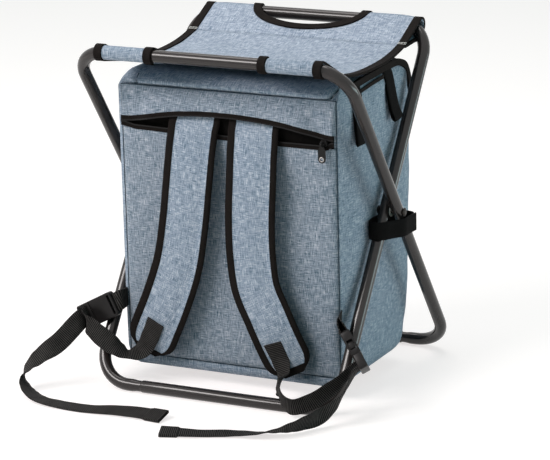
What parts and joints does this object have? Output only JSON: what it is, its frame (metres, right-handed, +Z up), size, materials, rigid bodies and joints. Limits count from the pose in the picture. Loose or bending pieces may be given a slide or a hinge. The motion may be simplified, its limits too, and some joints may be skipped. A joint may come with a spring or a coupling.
{
  "type": "folding cooler stool",
  "caption": "Folding stool of crossed tube loops with a slung cloth seat and an insulated rucksack with padded straps hanging between its legs.",
  "frame": {"origin": "on the floor, midway under the two pivots and between the floor bars", "axes": "+X along the top bars towards the right side as seen from the shoulder straps, -Y towards the strap side, +Z up"},
  "size_m": [0.467, 0.4704, 0.4511],
  "materials": {
    "gunmetal": "satin",
    "zinc": "satin",
    "nylon": "matt",
    "cloth": "heathered weave",
    "bag_cloth": "heathered weave",
    "foil": "foil-faced foam",
    "board": "matt",
    "webbing": "ribbed weave",
    "zip_tape": "woven",
    "black_plastic": "satin"
  },
  "bodies": {
    "bag": {"bag_shell": "bag_cloth", "cooler_liner": "foil", "base_board": "board", "pocket_panel": "cloth", "pocket_upper_band": "cloth", "pocket_zip_upper_tape": "zip_tape", "pocket_zip_lower_tape": "zip_tape", "left_shoulder_strap": "cloth", "right_shoulder_strap": "cloth", "left_strap_webbing": "webbing", "right_strap_webbing": "webbing", "left_webbing_tail": "webbing", "right_webbing_tail": "webbing", "left_buckle_socket": "black_plastic", "right_buckle_socket": "black_plastic", "left_buckle_tab": "webbing", "right_buckle_tab": "webbing", "left_rear_loop": "webbing", "right_rear_loop": "webbing", "left_front_loop": "webbing", "right_front_loop": "webbing", "left_frame_band": "webbing", "right_frame_band": "webbing", "seat_sling": "cloth"},
    "outer_frame": {"outer_loop": "gunmetal", "outer_floor_bar": "gunmetal", "front_sleeve_left": "cloth", "front_sleeve_right": "cloth", "left_pivot_rivet": "zinc", "right_pivot_rivet": "zinc", "left_pivot_washer": "nylon", "right_pivot_washer": "nylon"},
    "inner_frame": {"inner_loop": "gunmetal", "inner_floor_bar": "gunmetal", "rear_sleeve_left": "cloth", "rear_sleeve_right": "cloth"},
    "flap": {"cooler_flap": "bag_cloth", "flap_pad": "foil"},
    "flap_zip_slider": {"flap_slider": "black_plastic"},
    "flap_zip_pull": {"flap_pull": "black_plastic"},
    "pocket_zip_slider": {"pocket_slider": "black_plastic"},
    "pocket_zip_pull": {"pocket_pull": "black_plastic"},
    "left_plug": {"left_buckle_plug": "black_plastic"},
    "right_plug": {"right_buckle_plug": "black_plastic"}
  },
  "joints": [
    {"name": "outer_fold", "type": "hinge", "parent": "bag", "child": "outer_frame", "pos_m": [0, 0, 0.22884], "axis": [-1, 0, 0], "range_deg": [0, 33], "deforming": ["seat_sling"]},
    {"name": "inner_fold", "type": "hinge", "parent": "bag", "child": "inner_frame", "pos_m": [0, 0, 0.22884], "axis": [1, 0, 0], "range_deg": [0, 33]},
    {"name": "flap_hinge", "type": "hinge", "parent": "bag", "child": "flap", "pos_m": [0, 0.12043, 0.292], "axis": [-1, 0, 0], "range_deg": [0, 95]},
    {"name": "flap_zip", "type": "slide", "parent": "bag", "child": "flap_zip_slider", "axis": [0, 0, 1], "range_m": [0, 0.075]},
    {"name": "flap_pull_swing", "type": "hinge", "parent": "flap_zip_slider", "child": "flap_zip_pull", "pos_m": [-0.141, 0.12824, 0.286], "axis": [1, 0, 0], "range_deg": [0, 75]},
    {"name": "pocket_zip", "type": "slide", "parent": "bag", "child": "pocket_zip_slider", "axis": [-1, 0, 0], "range_m": [0, 0.045]},
    {"name": "pocket_pull_swing", "type": "hinge", "parent": "pocket_zip_slider", "child": "pocket_zip_pull", "pos_m": [0.137, -0.1152, 0.3382], "axis": [-1, 0, 0], "range_deg": [0, 90]},
    {"name": "left_buckle_release", "type": "slide", "parent": "bag", "child": "left_plug", "axis": [-0.8791, -0.1, -0.4661], "range_m": [0, 0.028], "deforming": ["left_buckle_plug", "left_strap_webbing", "left_webbing_tail"]},
    {"name": "right_buckle_release", "type": "slide", "parent": "bag", "child": "right_plug", "axis": [0.6194, -0.2498, -0.7443], "range_m": [0, 0.028], "deforming": ["right_buckle_plug", "right_strap_webbing", "right_webbing_tail"]}
  ],
  "couplings": [
    {"joint": "inner_fold", "follows": "outer_fold", "ratio": 1}
  ]
}
